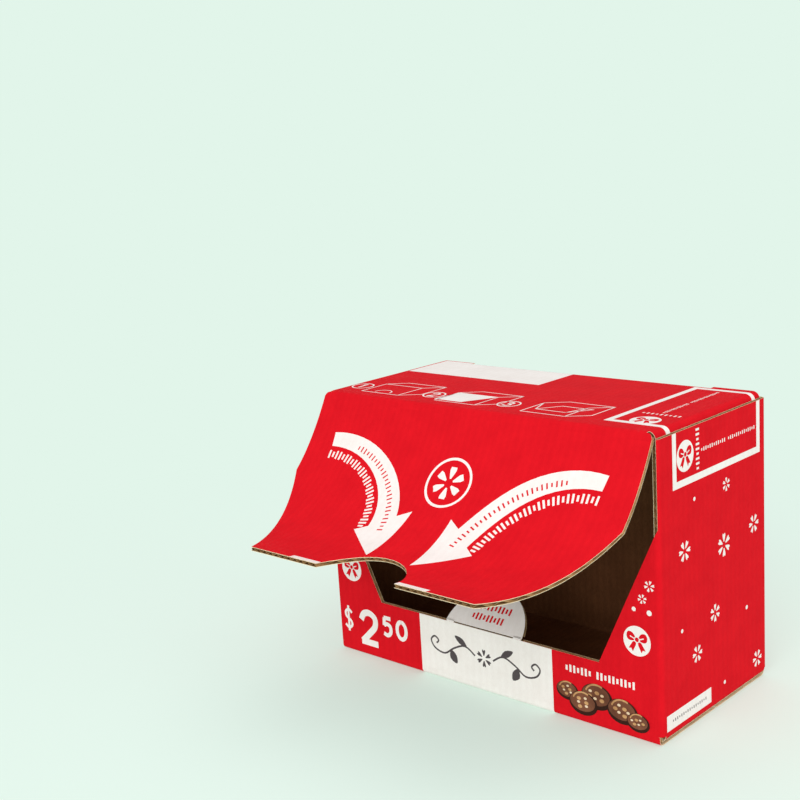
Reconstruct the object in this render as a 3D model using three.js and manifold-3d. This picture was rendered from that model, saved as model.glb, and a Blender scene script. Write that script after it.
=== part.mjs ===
// Counter display box: folded corrugated carton, opened, with its front flap curled up and its
// finger tab pushed back. Millimetres, +Z up, front face toward -Y, origin under the middle.
import * as THREE from 'three';
import { mergeVertices } from 'three/addons/utils/BufferGeometryUtils.js';
import Module from 'manifold-3d';

const wasm = await Module();
wasm.setup();

// Driving sizes
const WIDTH = 320;
const DEPTH = 152;
const HEIGHT = 227;
const BOARD = 3;
const GAP = 0.3;
const FOLD_R = 4;
const ROLL_R = 5.5;
const ARC_STEPS = 6;
const WALL_DROP = 4.5;

// Bottom flaps
const BOTTOM_SEAM = 1.5;
const SEAM_Y = 2;
const MAJOR_END_SETBACK = 2.5;
const MINOR_LENGTH = DEPTH / 2;

// Opening in the front
const LIP_Z = 51.8;
const LIP_HALF = 107.7;
const KINK_Z = 162;
const TORN_SETBACK = 1;

// Top panel and its flaps
const DUST_LENGTH = 76;
const DUST_BACK = 66;
const TUCK_LENGTH = 60;
const GLUE_TAB_LENGTH = 35;
const TUCK_TO_TAB = 4;
const EAR_SLIT = 0.5;
const TAB_CHAMFER = 12;

// Front flap
const FLAP_TEAR = 0.5;
const HINGE_ARC_DEG = 30;
const HINGE_CLEAR = 0.15;
const CLOSE_ANGLE = 22;
const CURL_DEG = [27, 30, 34, 39, 46, 54, 63, 73, 82.5, 91, 98];

// Finger tab
const TAB_R = 37.5;
const TAB_CENTRE_Z = 50;
const TAB_TILT = 45.5;
const TAB_AXIS_DEPTH = 0.9;
const LIP_BEVEL_DEG = 30;
const TAB_BEVEL_DEG = 60;

// Glue lines
const GLUE_WIDE = 6;
const GLUE_LONG = 44;
const GLUE_BITE = 0.1;

const RAD = Math.PI / 180;
const HALF_W = WIDTH / 2;
const HALF_D = DEPTH / 2;
const WALL_TOP = HEIGHT - WALL_DROP;
const MINOR_Z = BOARD + GAP;
const SIDE_START = MINOR_Z + FOLD_R;
const INSIDE_X = HALF_W - BOARD - GAP;
const INSIDE_Y = HALF_D - BOARD - GAP;
const FLAP_HALF = HALF_W - BOARD - GAP;
const TUCK_HALF = HALF_W - BOARD - GLUE_TAB_LENGTH - TUCK_TO_TAB;

// Walks along the outer face of a bent sheet and returns its closed section.
// The sheet's thickness lies to the left of the walk, and every bend turns left.
function section(start, headingDeg, steps, thick = BOARD) {
  const outer = [];
  const inner = [];
  let [x, y] = start;
  let a = headingDeg * RAD;
  const note = () => {
    outer.push([x, y]);
    inner.push([x - Math.sin(a) * thick, y + Math.cos(a) * thick]);
  };
  note();
  for (const step of steps) {
    if (step.go) {
      x += Math.cos(a) * step.go;
      y += Math.sin(a) * step.go;
      note();
    } else {
      const cx = x - Math.sin(a) * step.radius;
      const cy = y + Math.cos(a) * step.radius;
      const part = step.turn * RAD / ARC_STEPS;
      for (let i = 0; i < ARC_STEPS; i += 1) {
        a += part;
        x = cx + Math.sin(a) * step.radius;
        y = cy - Math.cos(a) * step.radius;
        note();
      }
    }
  }
  return [...outer, ...inner.reverse()];
}

// Turns a plain geometry into a solid that can be joined and cut.
function solidOf(geometry) {
  const g = geometry.index ? geometry.toNonIndexed() : geometry;
  g.deleteAttribute('normal');
  g.deleteAttribute('uv');
  const m = mergeVertices(g, 1e-4);
  const mesh = new wasm.Mesh({
    numProp: 3,
    vertProperties: new Float32Array(m.attributes.position.array),
    triVerts: new Uint32Array(m.index.array),
  });
  return new wasm.Manifold(mesh);
}

// Pushes a flat outline along one axis. The outline's two numbers are
// (y, z) along x, (x, z) along y and (x, y) along z.
function prism(outline, axis, from, to) {
  const shape = new THREE.Shape(outline.map(([u, v]) => new THREE.Vector2(u, v)));
  const g = new THREE.ExtrudeGeometry(shape, { depth: to - from, bevelEnabled: false });
  const p = g.attributes.position;
  for (let i = 0; i < p.count; i += 1) {
    const u = p.getX(i);
    const v = p.getY(i);
    const w = p.getZ(i) + from;
    if (axis === 'x') p.setXYZ(i, w, u, v);
    else if (axis === 'y') p.setXYZ(i, u, -w, v);
    else p.setXYZ(i, u, v, w);
  }
  return solidOf(g);
}

function box(x0, x1, y0, y1, z0, z1) {
  return prism([[x0, y0], [x1, y0], [x1, y1], [x0, y1]], 'z', z0, z1);
}

function alongY(outline, from, to) {
  return prism(outline, 'y', -to, -from);
}

function flip(outline) {
  return outline.map(([u, v]) => [-u, v]).reverse();
}

function join(parts) {
  return parts.reduce((all, next) => all.add(next));
}

// Wall loop: glue tab, left, front, right and back walls in one strip.
function wallLoop() {
  const outline = section([-HALF_W + FOLD_R + GLUE_TAB_LENGTH, HALF_D - BOARD - GAP], 180, [
    { go: GLUE_TAB_LENGTH },
    { turn: 90, radius: FOLD_R },
    { go: DEPTH - BOARD - GAP - 2 * FOLD_R },
    { turn: 90, radius: FOLD_R },
    { go: WIDTH - 2 * FOLD_R },
    { turn: 90, radius: FOLD_R },
    { go: DEPTH - 2 * FOLD_R },
    { turn: 90, radius: FOLD_R },
    { go: WIDTH - FOLD_R - 1 },
  ]);
  const loop = prism(outline, 'z', SIDE_START, WALL_TOP);
  const x0 = -HALF_W + FOLD_R;
  const slope = prism([
    [x0 + GLUE_TAB_LENGTH - TAB_CHAMFER, WALL_TOP + 1],
    [x0 + GLUE_TAB_LENGTH + 1, WALL_TOP + 1],
    [x0 + GLUE_TAB_LENGTH + 1, WALL_TOP - 2 * TAB_CHAMFER],
  ].reverse(), 'y', -(HALF_D - BOARD - GAP / 2), -(HALF_D - 2 * BOARD - 2 * GAP));
  return loop.subtract(slope);
}

// Front and back bottom flaps, each folded from its wall and outermost underneath.
function majorFlaps() {
  const over = 2;
  const reach = (seam) => section([-HALF_D, SIDE_START + over], -90, [
    { go: SIDE_START + over - FOLD_R },
    { turn: 90, radius: FOLD_R },
    { go: HALF_D - FOLD_R + seam - BOTTOM_SEAM / 2 },
  ]);
  const end = HALF_W - MAJOR_END_SETBACK;
  const both = join([prism(reach(SEAM_Y), 'x', -end, end), prism(flip(reach(-SEAM_Y)), 'x', -end, end)]);
  const rim = section([-HALF_W + FOLD_R, -HALF_D], 0, [
    { go: WIDTH - 2 * FOLD_R },
    { turn: 90, radius: FOLD_R },
    { go: DEPTH - 2 * FOLD_R },
    { turn: 90, radius: FOLD_R },
    { go: WIDTH - 2 * FOLD_R },
    { turn: 90, radius: FOLD_R },
    { go: DEPTH - 2 * FOLD_R },
    { turn: 90, radius: FOLD_R },
  ]);
  const outside = rim.slice(0, rim.length / 2 - 1);
  return both.intersect(prism(outside, 'z', -1, SIDE_START + over));
}

// Side bottom flaps, lying on the front and back ones.
function minorFlaps() {
  const over = 2;
  const half = section([-HALF_W, SIDE_START + over], -90, [
    { go: over },
    { turn: 90, radius: FOLD_R },
    { go: MINOR_LENGTH - FOLD_R },
  ]);
  const end = HALF_D - FOLD_R;
  return join([alongY(half, -end, end), alongY(flip(half), -end, end)]);
}

// Outline of the torn opening, seen from the front. A tab-shaped tear leaves the lip's top straight.
function openingOutline(half) {
  const top = HEIGHT + 10;
  return [
    [-LIP_HALF, LIP_Z], [LIP_HALF, LIP_Z], [half, KINK_Z], [half, top], [-half, top], [-half, KINK_Z],
  ];
}

function openingCut() {
  const outline = openingOutline(HALF_W);
  const wide = outline.map(([x, z]) => [Math.abs(x) === HALF_W ? x * 1.02 : x, z]);
  const thin = alongY(wide, -HALF_D - 5, -HALF_D + TORN_SETBACK);
  const deep = alongY(outline, -HALF_D - 5, -HALF_D + FOLD_R + 0.1);
  const inner = box(-HALF_W + BOARD, HALF_W - BOARD, -HALF_D - 6, 0, 0, HEIGHT + 20);
  return thin.add(deep.intersect(inner));
}

// The crushed crease under the tab: the lip's top edge falls away toward the inside.
function lipBevel() {
  const run = BOARD - TAB_AXIS_DEPTH;
  const y = -HALF_D + TAB_AXIS_DEPTH;
  const drop = Math.tan(LIP_BEVEL_DEG * RAD) * (run + 1);
  const wedge = [[y, LIP_Z], [y + run + 1, LIP_Z - drop], [y + run + 1, LIP_Z + 1], [y, LIP_Z + 1]];
  return prism(wedge, 'x', -TAB_R, TAB_R);
}

// Front end of the top panel: the first part of the rounded fold, cut back so the flap can close.
function noseOutline() {
  const cy = -HALF_D + FOLD_R;
  const cz = HEIGHT - FOLD_R;
  const stop = HINGE_ARC_DEG - HINGE_CLEAR / FOLD_R / RAD;
  const points = [[cy + 4, HEIGHT], [cy, HEIGHT]];
  for (let i = 1; i <= 4; i += 1) {
    const a = stop * i / 4 * RAD;
    points.push([cy - FOLD_R * Math.sin(a), cz + FOLD_R * Math.cos(a)]);
  }
  const tip = points[points.length - 1];
  const slant = (HINGE_ARC_DEG + CLOSE_ANGLE) * RAD;
  const fall = tip[1] - (HEIGHT - BOARD);
  points.push([tip[0] + Math.tan(slant) * fall, HEIGHT - BOARD]);
  points.push([cy + 4, HEIGHT - BOARD]);
  return points;
}

// Top panel with its rolled sides, dust flaps, rear fold, rear ears and tuck flap.
function topPanel() {
  const across = section([INSIDE_X, HEIGHT - DUST_LENGTH], 90, [
    { go: DUST_LENGTH - ROLL_R },
    { turn: 90, radius: ROLL_R },
    { go: 2 * (INSIDE_X - ROLL_R) },
    { turn: 90, radius: ROLL_R },
    { go: DUST_LENGTH - ROLL_R },
  ]);
  const front = -HALF_D + FOLD_R;
  const foldY = INSIDE_Y - ROLL_R;
  const lid = alongY(across, front, foldY);
  const dustTrim = box(-WIDTH, WIDTH, DUST_BACK, HALF_D, 0, HEIGHT - ROLL_R - 1);
  const nose = prism(noseOutline(), 'x', -HALF_W, HALF_W).intersect(alongY(across, front - 5, front + 5));
  const rear = section([-foldY + 4, HEIGHT], 180, [
    { go: 4 },
    { turn: 90, radius: ROLL_R },
    { go: TUCK_LENGTH - ROLL_R },
  ]);
  const tuck = prism(flip(rear), 'x', -TUCK_HALF, TUCK_HALF);
  const rearStrip = alongY(across, foldY - 4, INSIDE_Y);
  const ear = (x0, x1) => rearStrip.intersect(box(x0, x1, 0, HALF_D, WALL_TOP + GAP, HEIGHT + 1));
  const slit = TUCK_HALF + EAR_SLIT;
  return join([lid.subtract(dustTrim), nose, tuck, ear(-HALF_W, -slit), ear(slit, HALF_W)]);
}

// Glue lines hold the flaps to what they lie against and make the blank one body.
function glueLines() {
  const lines = [];
  const bite = GLUE_BITE;
  const w = GLUE_WIDE / 2;
  const zMid = HEIGHT - DUST_LENGTH + 38;
  const l = GLUE_LONG / 2;
  for (const s of [-1, 1]) {
    const xs = [s * (INSIDE_X - bite), s * (HALF_W - BOARD + bite)].sort((a, b) => a - b);
    for (const y of [-40, 0, 40]) lines.push(box(xs[0], xs[1], y - w, y + w, zMid - l, zMid + l));
    const xm = s * (HALF_W - MINOR_LENGTH / 2);
    for (const y of [-50, -20, 20, 50]) {
      lines.push(box(xm - l, xm + l, y - w, y + w, BOARD - bite, MINOR_Z + bite));
    }
  }
  for (const x of [-80, 0, 80]) {
    const z = HEIGHT - TUCK_LENGTH / 2;
    lines.push(box(x - w, x + w, INSIDE_Y - bite, HALF_D - BOARD + bite, z - 16, z + 16));
  }
  return lines;
}

function carton() {
  const walls = join([wallLoop(), majorFlaps(), minorFlaps()]);
  const lower = walls.subtract(openingCut()).subtract(lipBevel());
  return join([lower, topPanel(), ...glueLines()]);
}

// The flap's printed face, followed from the hinge: distance and direction of the sheet.
// The direction is measured from straight down (0) to straight forward (90).
const AXIS_Y = -HALF_D + FOLD_R - FOLD_R * Math.sin(HINGE_ARC_DEG * RAD);
const AXIS_Z = HEIGHT - FOLD_R + FOLD_R * Math.cos(HINGE_ARC_DEG * RAD);
const FLAP_LENGTH = HEIGHT - LIP_Z - FLAP_TEAR;
const TEAR_SLOPE = (HALF_W - LIP_HALF) / (KINK_Z - LIP_Z);
const KINK_RUN = HEIGHT - LIP_Z - (FLAP_HALF + FLAP_TEAR - LIP_HALF) / TEAR_SLOPE;

function curlAngle(s) {
  const arc = (90 - HINGE_ARC_DEG - CURL_DEG[0]) * RAD * FOLD_R;
  if (s < arc) return 90 - HINGE_ARC_DEG - (s / FOLD_R) / RAD;
  const u = Math.min((s - arc) / (FLAP_LENGTH - arc), 1) * (CURL_DEG.length - 1);
  const i = Math.min(Math.floor(u), CURL_DEG.length - 2);
  return CURL_DEG[i] + (CURL_DEG[i + 1] - CURL_DEG[i]) * (u - i);
}

function curlPoint(s) {
  const n = Math.max(4, Math.ceil(s / 0.5));
  let y = AXIS_Y;
  let z = AXIS_Z;
  for (let i = 0; i < n; i += 1) {
    const a = curlAngle(s * (i + 0.5) / n) * RAD;
    y -= Math.sin(a) * s / n;
    z -= Math.cos(a) * s / n;
  }
  return { y, z, a: curlAngle(s) * RAD };
}

function flapHalf(s) {
  return Math.min(FLAP_HALF, LIP_HALF - FLAP_TEAR + TEAR_SLOPE * (HEIGHT - s - LIP_Z));
}

const NOTCH_R = TAB_R + FLAP_TEAR;
const NOTCH_S = HEIGHT - TAB_CENTRE_Z;

function notchHalf(s) {
  const d = NOTCH_S - s;
  return d < NOTCH_R ? Math.sqrt(NOTCH_R * NOTCH_R - d * d) : 0;
}

function frontFlap() {
  const rows = [HINGE_CLEAR];
  const arc = (90 - HINGE_ARC_DEG - CURL_DEG[0]) * RAD * FOLD_R;
  for (let i = 1; i <= 3; i += 1) rows.push(arc * i / 3);
  for (let i = 1; i <= 6; i += 1) rows.push(arc + (KINK_RUN - arc) * i / 6);
  const apex = NOTCH_S - NOTCH_R;
  for (let i = 1; i <= 7; i += 1) rows.push(KINK_RUN + (apex - KINK_RUN) * i / 7);
  const steps = 12;
  const last = Math.acos((NOTCH_S - FLAP_LENGTH) / NOTCH_R);
  for (let i = 1; i <= steps; i += 1) rows.push(NOTCH_S - NOTCH_R * Math.cos(last * i / steps));
  const verts = [];
  const tris = [];
  const key = new Map();
  const put = (at, s, inside) => {
    const x = Math.abs(at) < 1e-3 ? 0 : at;
    const name = `${x.toFixed(4)},${s.toFixed(4)},${inside}`;
    if (!key.has(name)) {
      const p = curlPoint(s);
      const d = inside ? BOARD : 0;
      verts.push(x, p.y + Math.cos(p.a) * d, p.z - Math.sin(p.a) * d);
      key.set(name, verts.length / 3 - 1);
    }
    return key.get(name);
  };
  const quad = (a, b, c, d) => {
    tris.push(a, b, c, a, c, d);
  };
  const wall = (x0, s0, x1, s1) => {
    quad(put(x0, s0, false), put(x1, s1, false), put(x1, s1, true), put(x0, s0, true));
  };
  const face = (xa0, xb0, s0, xa1, xb1, s1) => {
    quad(put(xa0, s0, false), put(xa1, s1, false), put(xb1, s1, false), put(xb0, s0, false));
    quad(put(xa0, s0, true), put(xb0, s0, true), put(xb1, s1, true), put(xa1, s1, true));
  };
  for (let i = 0; i + 1 < rows.length; i += 1) {
    const s0 = rows[i];
    const s1 = rows[i + 1];
    const n0 = notchHalf(s0);
    const n1 = notchHalf(s1);
    face(-flapHalf(s0), -n0, s0, -flapHalf(s1), -n1, s1);
    face(n0, flapHalf(s0), s0, n1, flapHalf(s1), s1);
    wall(flapHalf(s0), s0, flapHalf(s1), s1);
    wall(-flapHalf(s1), s1, -flapHalf(s0), s0);
    if (n1 > 0) {
      wall(n1, s1, n0, s0);
      wall(-n0, s0, -n1, s1);
    }
  }
  const s0 = rows[0];
  const sn = rows[rows.length - 1];
  wall(-flapHalf(s0), s0, 0, s0);
  wall(0, s0, flapHalf(s0), s0);
  wall(-notchHalf(sn), sn, -flapHalf(sn), sn);
  wall(flapHalf(sn), sn, notchHalf(sn), sn);
  const g = new THREE.BufferGeometry();
  g.setAttribute('position', new THREE.BufferAttribute(new Float32Array(verts), 3));
  g.setIndex(tris);
  return solidOf(g);
}

// Half-round tab, cut upright in its own plane and then swung back on its crease.
function fingerTab() {
  const y0 = -HALF_D;
  const axisY = y0 + TAB_AXIS_DEPTH;
  const axisZ = LIP_Z + GAP / 2;
  const outline = [];
  const start = Math.asin((axisZ + GAP / 2 - TAB_CENTRE_Z) / TAB_R);
  for (let i = 0; i <= 32; i += 1) {
    const a = start + (Math.PI - 2 * start) * i / 32;
    outline.push([TAB_R * Math.cos(a), TAB_CENTRE_Z + TAB_R * Math.sin(a)]);
  }
  const flat = alongY(outline, y0, y0 + BOARD);
  const rise = Math.tan(TAB_BEVEL_DEG * RAD);
  const run = BOARD - TAB_AXIS_DEPTH + 1;
  const bottom = axisZ + GAP / 2;
  const wedge = [[axisY, bottom], [axisY, bottom - 2], [axisY + run, bottom - 2], [axisY + run, bottom + rise * run]];
  const cut = flat.subtract(prism(wedge, 'x', -TAB_R - 2, TAB_R + 2));
  return cut.translate([0, -axisY, -axisZ]).rotate([-TAB_TILT, 0, 0]).translate([0, axisY, axisZ]);
}

function meshOf(solid, name, colour, roughness) {
  const m = solid.getMesh();
  const g = new THREE.BufferGeometry();
  const positions = new Float32Array(m.numVert * 3);
  for (let i = 0; i < m.numVert; i += 1) {
    for (let k = 0; k < 3; k += 1) positions[3 * i + k] = m.vertProperties[i * m.numProp + k];
  }
  g.setAttribute('position', new THREE.BufferAttribute(positions, 3));
  g.setIndex(new THREE.BufferAttribute(new Uint32Array(m.triVerts), 1));
  g.computeVertexNormals();
  const material = new THREE.MeshStandardMaterial({ color: colour, roughness, metalness: 0 });
  const mesh = new THREE.Mesh(g, material);
  mesh.name = name;
  return mesh;
}

const object = new THREE.Group();
object.name = 'counter_display_box';
object.add(meshOf(carton(), 'carton', 0xc4202a, 0.55));
object.add(meshOf(frontFlap(), 'front_flap', 0xd8242e, 0.55));
object.add(meshOf(fingerTab(), 'finger_tab', 0xece8e2, 0.6));

export default object;
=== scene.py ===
"""Looks for an opened counter display box of printed corrugated board.

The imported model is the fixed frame. Each panel is built the way the board is made, with a printed
outer liner, a fluted middle and a brown inner liner, cut flat and then bent along its folds. The print
is laid on the outer liner as thin fields of ink. Flat sizes are in millimetres and meshes in metres.
"""

import logging
import math
from dataclasses import dataclass, field
from enum import Enum
from itertools import accumulate
from typing import Callable, Iterable, Sequence

import bmesh
import bpy
from mathutils import Matrix, Vector

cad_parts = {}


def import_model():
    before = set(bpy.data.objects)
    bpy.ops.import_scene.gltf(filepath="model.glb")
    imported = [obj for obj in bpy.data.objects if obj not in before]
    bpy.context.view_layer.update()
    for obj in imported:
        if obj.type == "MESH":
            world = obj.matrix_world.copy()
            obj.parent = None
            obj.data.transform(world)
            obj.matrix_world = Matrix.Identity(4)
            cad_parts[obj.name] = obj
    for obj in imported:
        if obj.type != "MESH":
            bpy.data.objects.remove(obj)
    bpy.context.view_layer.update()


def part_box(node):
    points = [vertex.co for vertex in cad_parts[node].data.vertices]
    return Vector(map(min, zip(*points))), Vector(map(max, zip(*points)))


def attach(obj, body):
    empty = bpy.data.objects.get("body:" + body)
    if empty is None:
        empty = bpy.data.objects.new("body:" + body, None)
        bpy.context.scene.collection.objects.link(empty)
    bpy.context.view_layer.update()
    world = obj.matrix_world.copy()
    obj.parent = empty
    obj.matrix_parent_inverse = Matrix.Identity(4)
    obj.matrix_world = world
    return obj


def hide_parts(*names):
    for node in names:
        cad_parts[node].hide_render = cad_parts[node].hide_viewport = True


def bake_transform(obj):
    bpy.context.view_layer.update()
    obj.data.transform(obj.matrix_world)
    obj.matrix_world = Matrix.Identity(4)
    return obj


LOG = logging.getLogger("display_box")
MM = 0.001
# Steps and tolerances of the flat blanks in millimetres, and the sharpest smooth angle in degrees.
ARC_STEP = 0.8
CLOSEST = 0.004
WELD = 0.003
CUT_SNAP = 1e-4
SHARP_ANGLE = 35
# Places of the share, the two colours and the result on a Mix node.
MIX_INPUTS = (0, 6, 7)
MIX_RESULT = 2
Colour = tuple[float, float, float, float]
Point = tuple[float, float]
Limit = Callable[[float, float], float]
Shift = Callable[[float, float], Point]
Waves = tuple[tuple[float, float, float], ...]


def srgb(red: int, green: int, blue: int) -> Colour:
    """Turns a colour in screen values from 0 to 255 into the linear colour that shaders take."""
    shares = [value / 255 for value in (red, green, blue)]
    return (*(c / 12.92 if c <= 0.04045 else ((c + 0.055) / 1.055) ** 2.4 for c in shares), 1.0)


# Sizes


@dataclass(frozen=True)
class BoxSizes:
    """Sizes of the folded box in millimetres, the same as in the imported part."""

    half_w: float
    half_d: float
    height: float
    board: float = 3.0
    gap: float = 0.3
    fold_r: float = 4.0
    roll_r: float = 5.5
    wall_drop: float = 4.5
    bottom_seam: float = 1.5
    seam_y: float = 2.0
    major_setback: float = 2.5
    lip_z: float = 51.8
    lip_half: float = 107.7
    kink_z: float = 162.0
    torn_setback: float = 1.0
    dust_length: float = 76.0
    dust_back: float = 66.0
    tuck_length: float = 60.0
    glue_tab: float = 35.0
    tuck_to_tab: float = 4.0
    ear_slit: float = 0.5
    flap_tear: float = 0.5
    hinge_arc: float = 30.0
    hinge_clear: float = 0.15
    curl: tuple[float, ...] = (27, 30, 34, 39, 46, 54, 63, 73, 82.5, 91, 98)
    tab_r: float = 37.5
    tab_centre_z: float = 50.0
    tab_tilt: float = 45.5
    tab_axis_depth: float = 0.9
    lip_bevel: float = 30.0
    tab_bevel: float = 60.0
    pitch: float = 6.5
    liner: float = 0.32
    medium: float = 0.26
    flute_inset: float = 0.3
    ink: float = 0.02

    @classmethod
    def from_frame(cls) -> "BoxSizes":
        """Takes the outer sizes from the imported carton.

        Returns:
            The sizes, with half its width, half its depth and its height.
        """
        low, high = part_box("carton")
        size = (high - low) / MM
        return cls(size.x / 2, size.y / 2, size.z)

    @property
    def wall_top(self) -> float:
        """Height of the walls' raw top edge."""
        return self.height - self.wall_drop

    @property
    def side_start(self) -> float:
        """Height at which the side walls start above their bottom fold."""
        return self.board + self.gap + self.fold_r

    @property
    def inside_x(self) -> float:
        """Outer face of the dust flaps, and half the front flap's width at its hinge."""
        return self.half_w - self.board - self.gap

    @property
    def inside_y(self) -> float:
        """Outer face of the rear tuck flap."""
        return self.half_d - self.board - self.gap

    @property
    def top_half(self) -> float:
        """Half the width of the flat top between its rolled sides."""
        return self.inside_x - self.roll_r

    @property
    def tuck_half(self) -> float:
        """Half the width of the rear tuck flap."""
        return self.half_w - self.board - self.glue_tab - self.tuck_to_tab

    @property
    def flap_length(self) -> float:
        """Length of the front flap along its curl."""
        return self.height - self.lip_z - self.flap_tear

    @property
    def tear_slope(self) -> float:
        """Millimetres that the tear moves sideways for each one upward."""
        return (self.half_w - self.lip_half) / (self.kink_z - self.lip_z)

    def roll_drop(self, x: float) -> float:
        """How far the rolled side has fallen below the top at a distance from the middle."""
        over = min(max(0.0, abs(x) - self.inside_x + self.roll_r), 0.96 * self.roll_r)
        return self.roll_r - math.sqrt(self.roll_r ** 2 - over ** 2)

    @property
    def hinge(self) -> Point:
        """The front hinge line, as depth and height."""
        a = math.radians(self.hinge_arc)
        return (-self.half_d + self.fold_r * (1 - math.sin(a)), self.height - self.fold_r * (1 - math.cos(a)))

    @property
    def tab_axis(self) -> Point:
        """The finger tab's crease, as depth and height."""
        return (-self.half_d + self.tab_axis_depth, self.lip_z + self.gap / 2)


# Bending


def corner(radius: float, turn: float = 90.0) -> Point:
    """Gives a round bend as its length and its turn in degrees."""
    return (radius * math.radians(turn), turn)


@dataclass(frozen=True)
class FoldPath:
    """The outer face of a bent sheet in one plane. The sheet's thickness lies to its left."""

    start: Point
    heading: float
    steps: tuple[Point, ...]

    def at(self, run: float) -> tuple[float, float, float]:
        """Walks along the face.

        Args:
            run: Distance walked in millimetres.

        Returns:
            The place's two coordinates and the heading there in radians.
        """
        x, y = self.start
        heading = math.radians(self.heading)
        left = run
        for length, turn in (*self.steps, (math.inf, 0.0)):
            step = min(left, length)
            if turn and step > 0:
                radius = length / math.radians(turn)
                after = heading + step / radius
                x += radius * (math.sin(after) - math.sin(heading))
                y -= radius * (math.cos(after) - math.cos(heading))
                heading = after
            else:
                x += math.cos(heading) * step
                y += math.sin(heading) * step
            left -= step
            if left <= 0:
                break
        return x, y, heading


class Plane(Enum):
    """The plane that a fold's section lies in."""

    PLAN = "seen from above"
    SIDE = "seen from the side"
    FRONT = "seen from the front"


@dataclass(frozen=True)
class Bend:
    """Carries a flat blank onto its folded place."""

    path: FoldPath
    plane: Plane
    flutes_follow: bool = False
    mirror_x: bool = False
    mirror_y: bool = False

    def place(self, across: float, along: float, depth: float) -> Vector:
        """Places one point of the flat blank.

        Args:
            across: Distance across the flutes.
            along: Distance along the flutes.
            depth: Distance inward from the printed face.

        Returns:
            The folded point in metres.
        """
        run, side = (along, across) if self.flutes_follow else (across, along)
        u, v, heading = self.path.at(run)
        u -= math.sin(heading) * depth
        v += math.cos(heading) * depth
        point = {Plane.PLAN: (u, v, side), Plane.SIDE: (side, u, v), Plane.FRONT: (u, side, v)}[self.plane]
        return Vector((-point[0] if self.mirror_x else point[0], -point[1] if self.mirror_y else point[1],
                       point[2])) * MM


def stations(low: float, high: float, step: float, extra: Iterable[float] = ()) -> list[float]:
    """Gives the places where a blank is divided, evenly spaced with some of its own.

    Args:
        low: First place.
        high: Last place.
        step: Largest distance between two.
        extra: Places that must be among them.

    Returns:
        The sorted places, without any that nearly meet.
    """
    count = max(1, math.ceil((high - low) / step - 1e-6))
    even = [low + (high - low) * i / count for i in range(count + 1)]
    kept = [low]
    for x in sorted(even + [x for x in extra if low < x < high]):
        if x - kept[-1] > CLOSEST:
            kept.append(x)
    return kept


def steady(value: float) -> Limit:
    """Gives a limit that is the same everywhere."""
    return lambda _across, _depth: value


def ragged(place: float, waves: Waves) -> float:
    """Adds up a torn edge's small waves, each given by its height, rate and start."""
    return sum(height * math.sin(place * rate + start) for height, rate, start in waves)


# Materials


class Nodes:
    """Short helpers for one material's or one group's node tree."""

    def __init__(self, tree: bpy.types.NodeTree) -> None:
        """Keeps the tree that nodes are added to."""
        self.tree = tree

    def feed(self, socket: bpy.types.NodeSocket, value: object) -> None:
        """Links an output to a socket, or sets the socket to a plain value.

        Args:
            socket: The input.
            value: Another node's output, a number or a colour.
        """
        if isinstance(value, bpy.types.NodeSocket):
            self.tree.links.new(value, socket)
        else:
            socket.default_value = value

    def add(self, kind: str, **values: object) -> bpy.types.Node:
        """Adds a node.

        Args:
            kind: Its type.
            **values: Its properties, or its inputs with _ for a space.

        Returns:
            The node.
        """
        node = self.tree.nodes.new(kind)
        for key, value in values.items():
            if hasattr(node, key):
                setattr(node, key, value)
            else:
                self.feed(node.inputs[key.replace("_", " ")], value)
        return node

    def join(self, kind: str, *inputs: object, **values: object) -> bpy.types.NodeSocket:
        """Adds a node and feeds its inputs in order.

        Args:
            kind: Its type.
            *inputs: Outputs or plain values for its first inputs.
            **values: As for add.

        Returns:
            The node's first output.
        """
        node = self.add(kind, **values)
        for socket, value in zip(node.inputs, inputs):
            self.feed(socket, value)
        return node.outputs[0]

    def math(self, operation: str, *inputs: object) -> bpy.types.NodeSocket:
        """Adds a Math node and gives its output."""
        return self.join("ShaderNodeMath", *inputs, operation=operation)

    def ramp(self, source: bpy.types.NodeSocket, low: float, high: float) -> bpy.types.NodeSocket:
        """Spreads a value from low..high to 0..1 and gives the output."""
        return self.join("ShaderNodeMapRange", source, low, high)

    def blend(self, share: object, first: object, second: object) -> bpy.types.NodeSocket:
        """Mixes two colours.

        Args:
            share: The second colour's share.
            first: The first colour or its output.
            second: The second colour or its output.

        Returns:
            The mixed colour's output.
        """
        node = self.add("ShaderNodeMix", data_type="RGBA")
        for index, value in zip(MIX_INPUTS, (share, first, second)):
            self.feed(node.inputs[index], value)
        return node.outputs[MIX_RESULT]


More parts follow.
